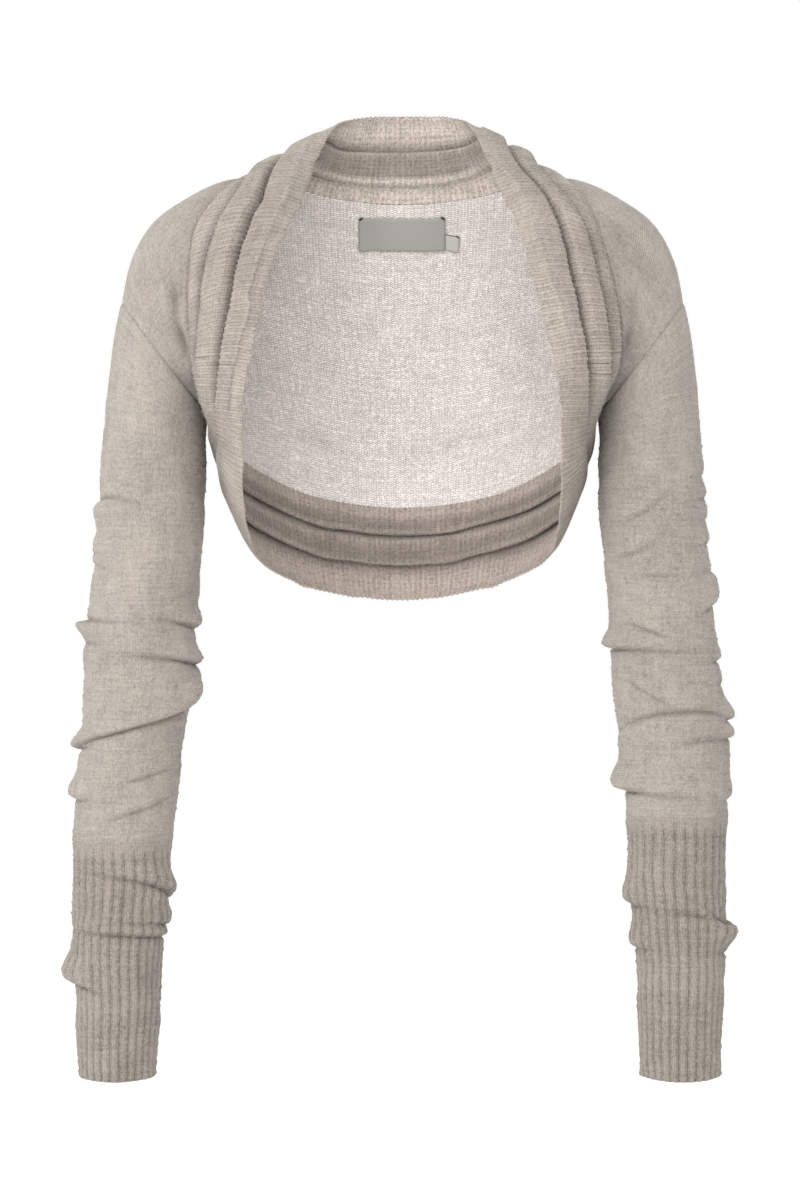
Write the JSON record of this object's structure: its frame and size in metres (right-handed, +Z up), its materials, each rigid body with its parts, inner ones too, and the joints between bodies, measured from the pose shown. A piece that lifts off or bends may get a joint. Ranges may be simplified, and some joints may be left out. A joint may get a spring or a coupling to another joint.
{
  "type": "knitted shrug",
  "caption": "Cropped open-fronted knitted shrug with long slouchy sleeves, long rib cuffs and a wide pleated rib band round neck, fronts and hem, filled out as worn.",
  "frame": {"origin": "on the seam at the centre of the nape, where the band is sewn to the back panel and the garment hangs on the wearer's neck", "axes": "+Z up, the front faces -Y, +X towards the wearer's left"},
  "size_m": [0.5065, 0.2057, 0.7325],
  "materials": {
    "panel": "fine brushed stockinette knit, matt, slightly see-through",
    "rib": "fine brushed rib knit, matt",
    "label": "woven satin, soft sheen"
  },
  "bodies": {
    "root": {"back": "panel", "front_left": "panel", "front_right": "panel", "sleeve_left": "panel", "sleeve_right": "panel", "cuff_left": "rib", "cuff_right": "rib", "collar_band": "rib", "hem_band": "rib", "label": "label", "size_tab": "label"}
  },
  "joints": []
}
